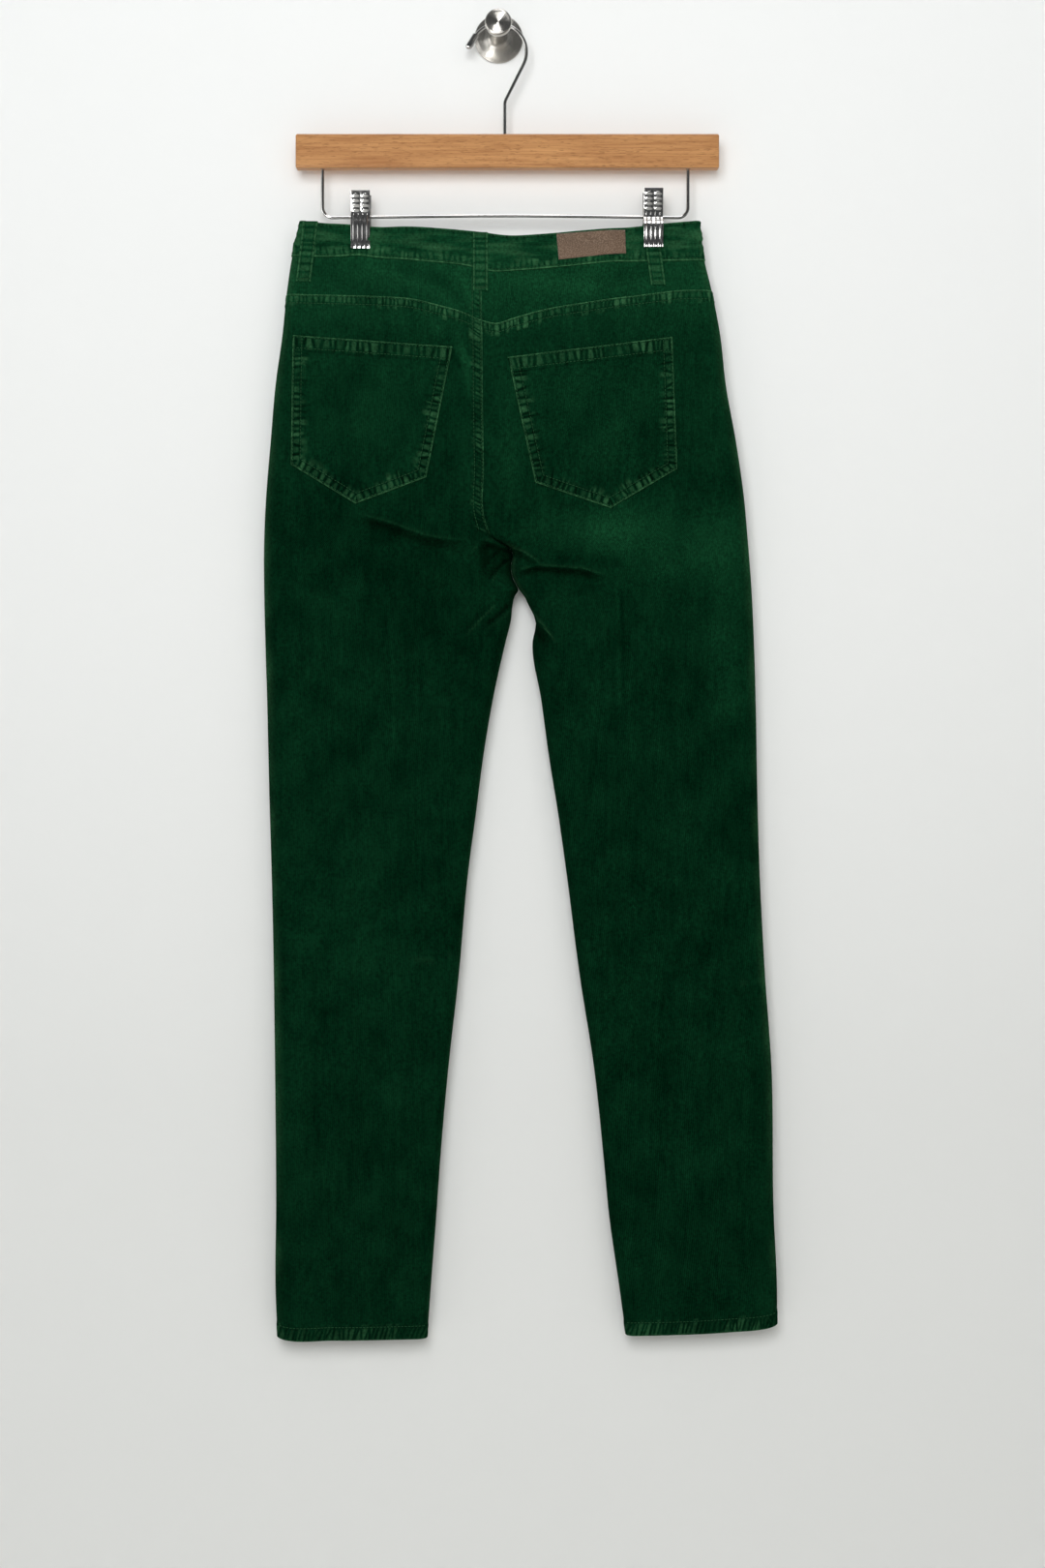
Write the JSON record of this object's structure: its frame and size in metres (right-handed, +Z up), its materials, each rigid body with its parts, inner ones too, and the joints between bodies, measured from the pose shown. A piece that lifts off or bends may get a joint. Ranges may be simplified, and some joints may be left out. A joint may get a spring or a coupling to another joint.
{
  "type": "five-pocket jeans on a clip hanger with a wall knob",
  "caption": "Slim corduroy jeans hung flat by the waist, back to the viewer, from a wooden clip hanger whose hook rests on a turned wall knob.",
  "frame": {"origin": "centre of the knob's wall plate, on the wall, where the knob holds hanger and jeans", "axes": "+Z up, +Y into the wall, +X to the right for somebody facing the wall, who sees the back of the jeans"},
  "size_m": [0.4578, 0.05, 1.1884],
  "materials": {
    "green_corduroy": "fine-wale cotton corduroy, garment-dyed bottle green, napped",
    "brown_patch": "matt suede-like patch, bare",
    "beech": "planed beech under clear satin lacquer",
    "bright_steel": "bright nickel-plated wire and sheet",
    "turned_steel": "turned, with circular tool marks"
  },
  "bodies": {
    "root": {"back_yoke_left": "green_corduroy", "back_yoke_right": "green_corduroy", "back_leg_left": "green_corduroy", "back_leg_right": "green_corduroy", "back_pocket_left": "green_corduroy", "back_pocket_right": "green_corduroy", "front_leg_left": "green_corduroy", "front_leg_right": "green_corduroy", "front_pocket_facing_left": "green_corduroy", "front_pocket_facing_right": "green_corduroy", "coin_pocket": "green_corduroy", "fly": "green_corduroy", "waistband_back": "green_corduroy", "waistband_front_left": "green_corduroy", "waistband_front_right": "green_corduroy", "belt_loop_centre_back": "green_corduroy", "belt_loop_left_back": "green_corduroy", "belt_loop_right_back": "green_corduroy", "belt_loop_left_front": "green_corduroy", "belt_loop_right_front": "green_corduroy", "label_patch": "brown_patch", "waist_button": "turned_steel", "wall_knob": "turned_steel", "hanger_bar": "beech", "hook_wire": "bright_steel", "hook_tip": "bright_steel", "trouser_wire": "bright_steel", "clip_left_front_jaw": "bright_steel", "clip_left_wall_jaw": "bright_steel", "clip_left_barrel": "bright_steel", "clip_right_front_jaw": "bright_steel", "clip_right_wall_jaw": "bright_steel", "clip_right_barrel": "bright_steel"}
  },
  "joints": []
}
